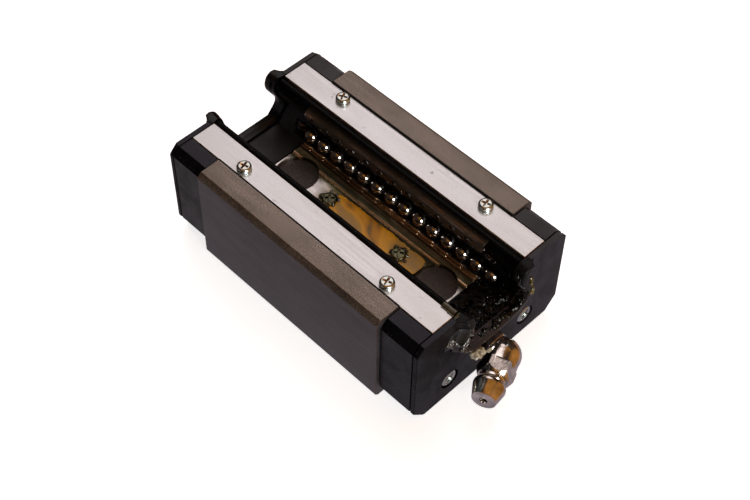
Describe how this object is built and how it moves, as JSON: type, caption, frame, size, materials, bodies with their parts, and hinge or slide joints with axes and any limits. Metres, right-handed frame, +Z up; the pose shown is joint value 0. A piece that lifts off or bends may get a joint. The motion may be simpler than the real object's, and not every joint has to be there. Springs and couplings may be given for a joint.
{
  "type": "linear guide carriage",
  "caption": "Carriage for a profiled linear rail: steel block with end caps, seals, four recirculating ball circuits and an elbow grease nipple.",
  "frame": {"origin": "centre of the flat mounting face, which the carriage lies on with its rail channel open upwards", "axes": "+X along the rail towards the grease nipple, +Y across the rail, +Z up out of the rail channel"},
  "size_m": [0.1144, 0.06, 0.0355],
  "materials": {
    "block_steel": "phosphated, matt, fine speckle",
    "strip_steel": "brushed stainless strip, satin",
    "black_plastic": "moulded black resin, slightly oily",
    "seal_plate": "black coated plate",
    "seal_rubber": "moulded nitrile rubber",
    "zinc_screw": "zinc plated",
    "bearing_steel": "polished hardened steel",
    "guide_resin": "dark resin with a film of oil",
    "retainer_steel": "ground steel with a film of grease",
    "nickel": "nickel plated",
    "spring_steel": "drawn wire"
  },
  "bodies": {
    "carriage": {"steel_block": "block_steel", "end_plate_front": "black_plastic", "end_seal_plate_front": "seal_plate", "end_seal_lip_front": "seal_rubber", "ceiling_screw_front": "zinc_screw", "end_plate_rear": "black_plastic", "end_seal_plate_rear": "seal_plate", "end_seal_lip_rear": "seal_rubber", "ceiling_screw_rear": "zinc_screw", "bottom_seal_strip_left": "strip_steel", "bottom_seal_lip_left": "seal_rubber", "ball_retainer_left": "guide_resin", "strip_screw_left_1": "zinc_screw", "strip_screw_left_2": "zinc_screw", "turn_guide_front_left": "guide_resin", "end_screw_front_left": "zinc_screw", "turn_guide_rear_left": "guide_resin", "end_screw_rear_left": "zinc_screw", "bottom_seal_strip_right": "strip_steel", "bottom_seal_lip_right": "seal_rubber", "ball_retainer_right": "guide_resin", "strip_screw_right_1": "zinc_screw", "strip_screw_right_2": "zinc_screw", "turn_guide_front_right": "guide_resin", "end_screw_front_right": "zinc_screw", "turn_guide_rear_right": "guide_resin", "end_screw_rear_right": "zinc_screw", "ceiling_retainer": "retainer_steel", "return_liner_a_left": "guide_resin", "return_liner_a_right": "guide_resin", "return_liner_b_left": "guide_resin", "return_liner_b_right": "guide_resin", "nipple_adapter": "nickel", "nipple_elbow": "nickel", "nipple_head": "nickel", "check_spring": "spring_steel", "port_plug": "zinc_screw"},
    "load_row_a_left": {"load_balls_a_left": "bearing_steel"},
    "return_row_a_left": {"return_balls_a_left": "bearing_steel"},
    "turn_group_front_a_left": {"turn_balls_front_a_left": "bearing_steel"},
    "turn_group_rear_a_left": {"turn_balls_rear_a_left": "bearing_steel"},
    "load_row_a_right": {"load_balls_a_right": "bearing_steel"},
    "return_row_a_right": {"return_balls_a_right": "bearing_steel"},
    "turn_group_front_a_right": {"turn_balls_front_a_right": "bearing_steel"},
    "turn_group_rear_a_right": {"turn_balls_rear_a_right": "bearing_steel"},
    "load_row_b_left": {"load_balls_b_left": "bearing_steel"},
    "return_row_b_left": {"return_balls_b_left": "bearing_steel"},
    "turn_group_front_b_left": {"turn_balls_front_b_left": "bearing_steel"},
    "turn_group_rear_b_left": {"turn_balls_rear_b_left": "bearing_steel"},
    "load_row_b_right": {"load_balls_b_right": "bearing_steel"},
    "return_row_b_right": {"return_balls_b_right": "bearing_steel"},
    "turn_group_front_b_right": {"turn_balls_front_b_right": "bearing_steel"},
    "turn_group_rear_b_right": {"turn_balls_rear_b_right": "bearing_steel"},
    "check_ball": {"check_ball": "bearing_steel"}
  },
  "joints": [
    {"name": "load_slide_a_left", "type": "slide", "parent": "carriage", "child": "load_row_a_left", "axis": [1, 0, 0], "range_m": [-0.0043, 0.0013]},
    {"name": "return_slide_a_left", "type": "slide", "parent": "carriage", "child": "return_row_a_left", "axis": [1, 0, 0], "range_m": [-0.0013, 0.0043]},
    {"name": "turn_front_a_left", "type": "hinge", "parent": "carriage", "child": "turn_group_front_a_left", "pos_m": [0.0364, -0.01805, 0.0179], "axis": [0, 0, 1], "range_deg": [-14.1, 46.2]},
    {"name": "turn_rear_a_left", "type": "hinge", "parent": "carriage", "child": "turn_group_rear_a_left", "pos_m": [-0.0364, -0.01805, 0.0179], "axis": [0, 0, 1], "range_deg": [-14.1, 46.2]},
    {"name": "load_slide_a_right", "type": "slide", "parent": "carriage", "child": "load_row_a_right", "axis": [1, 0, 0], "range_m": [-0.0043, 0.0013]},
    {"name": "return_slide_a_right", "type": "slide", "parent": "carriage", "child": "return_row_a_right", "axis": [1, 0, 0], "range_m": [-0.0013, 0.0043]},
    {"name": "turn_front_a_right", "type": "hinge", "parent": "carriage", "child": "turn_group_front_a_right", "pos_m": [0.0364, 0.01805, 0.0179], "axis": [0, 0, 1], "range_deg": [-46.2, 14.1]},
    {"name": "turn_rear_a_right", "type": "hinge", "parent": "carriage", "child": "turn_group_rear_a_right", "pos_m": [-0.0364, 0.01805, 0.0179], "axis": [0, 0, 1], "range_deg": [-46.2, 14.1]},
    {"name": "load_slide_b_left", "type": "slide", "parent": "carriage", "child": "load_row_b_left", "axis": [1, 0, 0], "range_m": [-0.0043, 0.0013]},
    {"name": "return_slide_b_left", "type": "slide", "parent": "carriage", "child": "return_row_b_left", "axis": [1, 0, 0], "range_m": [-0.0013, 0.0043]},
    {"name": "turn_front_b_left", "type": "hinge", "parent": "carriage", "child": "turn_group_front_b_left", "pos_m": [0.0364, -0.01845, 0.027], "axis": [0, 0, 1], "range_deg": [-14.1, 46.2]},
    {"name": "turn_rear_b_left", "type": "hinge", "parent": "carriage", "child": "turn_group_rear_b_left", "pos_m": [-0.0364, -0.01845, 0.027], "axis": [0, 0, 1], "range_deg": [-14.1, 46.2]},
    {"name": "load_slide_b_right", "type": "slide", "parent": "carriage", "child": "load_row_b_right", "axis": [1, 0, 0], "range_m": [-0.0043, 0.0013]},
    {"name": "return_slide_b_right", "type": "slide", "parent": "carriage", "child": "return_row_b_right", "axis": [1, 0, 0], "range_m": [-0.0013, 0.0043]},
    {"name": "turn_front_b_right", "type": "hinge", "parent": "carriage", "child": "turn_group_front_b_right", "pos_m": [0.0364, 0.01845, 0.027], "axis": [0, 0, 1], "range_deg": [-46.2, 14.1]},
    {"name": "turn_rear_b_right", "type": "hinge", "parent": "carriage", "child": "turn_group_rear_b_right", "pos_m": [-0.0364, 0.01845, 0.027], "axis": [0, 0, 1], "range_deg": [-46.2, 14.1]},
    {"name": "check_ball_lift", "type": "slide", "parent": "carriage", "child": "check_ball", "axis": [-0.3827, 0.9239, 0], "range_m": [0, 0.0008], "stiffness_N_per_m": 150, "springref_m": -0.0008, "deforming": ["check_spring"]}
  ],
  "couplings": [
    {"joint": "return_slide_a_left", "follows": "load_slide_a_left", "ratio": -1},
    {"joint": "turn_front_a_left", "follows": "load_slide_a_left", "rad_per_m": -187},
    {"joint": "turn_rear_a_left", "follows": "load_slide_a_left", "rad_per_m": -187},
    {"joint": "return_slide_a_right", "follows": "load_slide_a_right", "ratio": -1},
    {"joint": "turn_front_a_right", "follows": "load_slide_a_right", "rad_per_m": 187},
    {"joint": "turn_rear_a_right", "follows": "load_slide_a_right", "rad_per_m": 187},
    {"joint": "return_slide_b_left", "follows": "load_slide_b_left", "ratio": -1},
    {"joint": "turn_front_b_left", "follows": "load_slide_b_left", "rad_per_m": -187},
    {"joint": "turn_rear_b_left", "follows": "load_slide_b_left", "rad_per_m": -187},
    {"joint": "return_slide_b_right", "follows": "load_slide_b_right", "ratio": -1},
    {"joint": "turn_front_b_right", "follows": "load_slide_b_right", "rad_per_m": 187},
    {"joint": "turn_rear_b_right", "follows": "load_slide_b_right", "rad_per_m": 187}
  ]
}
